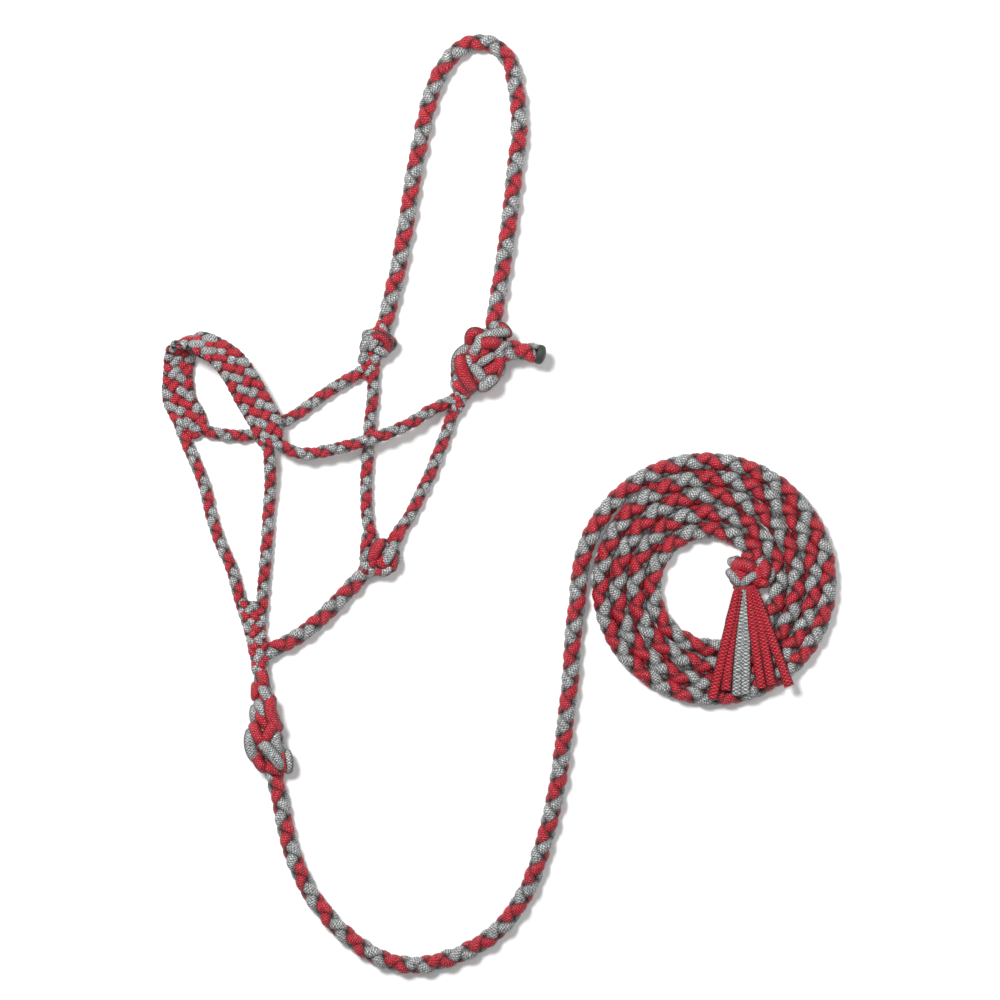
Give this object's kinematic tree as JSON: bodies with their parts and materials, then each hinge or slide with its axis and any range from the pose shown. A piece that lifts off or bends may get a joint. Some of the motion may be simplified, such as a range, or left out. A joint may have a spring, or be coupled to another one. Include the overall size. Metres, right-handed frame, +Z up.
{
  "type": "rope halter",
  "caption": "Braided rope halter laid flat, with a wide flat noseband, knotted straps, a tied crown loop and a fixed lead rope that ends in a coil with a tassel.",
  "frame": {"origin": "centre of the headpiece's footprint, on the surface that the halter lies on; the free lead rope doesn't count", "axes": "+Z up from the surface, +X from the noseband towards the coiled lead, +Y from the chin towards the top of the crown loop"},
  "size_m": [0.6433, 0.8931, 0.0391],
  "materials": {
    "strap_braid": "polyester cord, crimson and heather grey, round four-strand braid, soft sheen",
    "thick_braid": "polyester cord, crimson and heather grey, thick round four-strand braid, soft sheen",
    "flat_braid": "polyester cord, crimson and heather grey, flat eight-strand braid, soft sheen",
    "lead_braid": "polyester cord, crimson and heather grey, thick round four-strand braid, soft sheen",
    "red_cord": "flat woven crimson cord with a fine herringbone weave",
    "grey_cord": "flat woven heather grey cord with a fine herringbone weave",
    "melted_end": "melted and dipped rope end, dull black"
  },
  "bodies": {
    "headpiece": {"far_cheek_knot": "strap_braid", "far_cheek_neck": "strap_braid", "near_eye_loop": "strap_braid", "near_eye_neck": "strap_braid", "crown_tie_knot": "thick_braid", "throat_knot": "strap_braid", "chin_junction": "thick_braid", "lead_knot": "thick_braid", "near_nose_junction": "strap_braid", "far_nose_junction": "strap_braid", "far_cheek": "strap_braid", "far_throat": "strap_braid", "far_nose_drop": "strap_braid", "near_nose_drop": "strap_braid", "near_cheek": "strap_braid", "near_throat": "strap_braid", "chin_strap": "thick_braid", "chin_neck": "thick_braid"},
    "noseband": {"noseband": "flat_braid"},
    "crown": {"crown": "thick_braid"},
    "crown_tail": {"crown_tail": "thick_braid", "tail_end_cap": "melted_end"},
    "lead": {"lead_run": "lead_braid", "lead_coil": "lead_braid", "tassel_knot": "lead_braid"},
    "strand_1": {"tassel_strand_1": "red_cord"},
    "strand_2": {"tassel_strand_2": "red_cord"},
    "strand_3": {"tassel_strand_3": "grey_cord"},
    "strand_4": {"tassel_strand_4": "grey_cord"},
    "strand_5": {"tassel_strand_5": "red_cord"},
    "strand_6": {"tassel_strand_6": "red_cord"},
    "strand_7": {"tassel_strand_7": "red_cord"}
  },
  "joints": [
    {"name": "noseband_fold", "type": "hinge", "parent": "headpiece", "child": "noseband", "pos_m": [-0.125, -0.006, 0.012], "axis": [0.9832, 0, 0.1826], "range_deg": [0, 75]},
    {"name": "crown_swing", "type": "hinge", "parent": "headpiece", "child": "crown", "pos_m": [0.083, 0.08175, 0.0112], "axis": [0.9982, 0.0245, 0.0548], "range_deg": [0, 90]},
    {"name": "crown_tail_bend", "type": "hinge", "parent": "headpiece", "child": "crown_tail", "pos_m": [0.158, 0.05, 0.02], "axis": [0, -1, 0], "range_deg": [0, 60]},
    {"name": "lead_swing", "type": "hinge", "parent": "headpiece", "child": "lead", "pos_m": [-0.073, -0.361, 0.0084], "axis": [0, 0, 1], "range_deg": [-15, 15]},
    {"name": "strand_1_lift", "type": "hinge", "parent": "lead", "child": "strand_1", "pos_m": [0.372, -0.1775, 0.0188], "axis": [-1, 0, 0], "range_deg": [0, 60]},
    {"name": "strand_2_lift", "type": "hinge", "parent": "lead", "child": "strand_2", "pos_m": [0.372, -0.1775, 0.0188], "axis": [-1, 0, 0], "range_deg": [0, 60]},
    {"name": "strand_3_lift", "type": "hinge", "parent": "lead", "child": "strand_3", "pos_m": [0.372, -0.1775, 0.0188], "axis": [-1, 0, 0], "range_deg": [0, 60]},
    {"name": "strand_4_lift", "type": "hinge", "parent": "lead", "child": "strand_4", "pos_m": [0.372, -0.1775, 0.0188], "axis": [-1, 0, 0], "range_deg": [0, 60]},
    {"name": "strand_5_lift", "type": "hinge", "parent": "lead", "child": "strand_5", "pos_m": [0.372, -0.1775, 0.0188], "axis": [-1, 0, 0], "range_deg": [0, 60]},
    {"name": "strand_6_lift", "type": "hinge", "parent": "lead", "child": "strand_6", "pos_m": [0.372, -0.1775, 0.0188], "axis": [-1, 0, 0], "range_deg": [0, 60]},
    {"name": "strand_7_lift", "type": "hinge", "parent": "lead", "child": "strand_7", "pos_m": [0.372, -0.1775, 0.0188], "axis": [-1, 0, 0], "range_deg": [0, 60]}
  ]
}
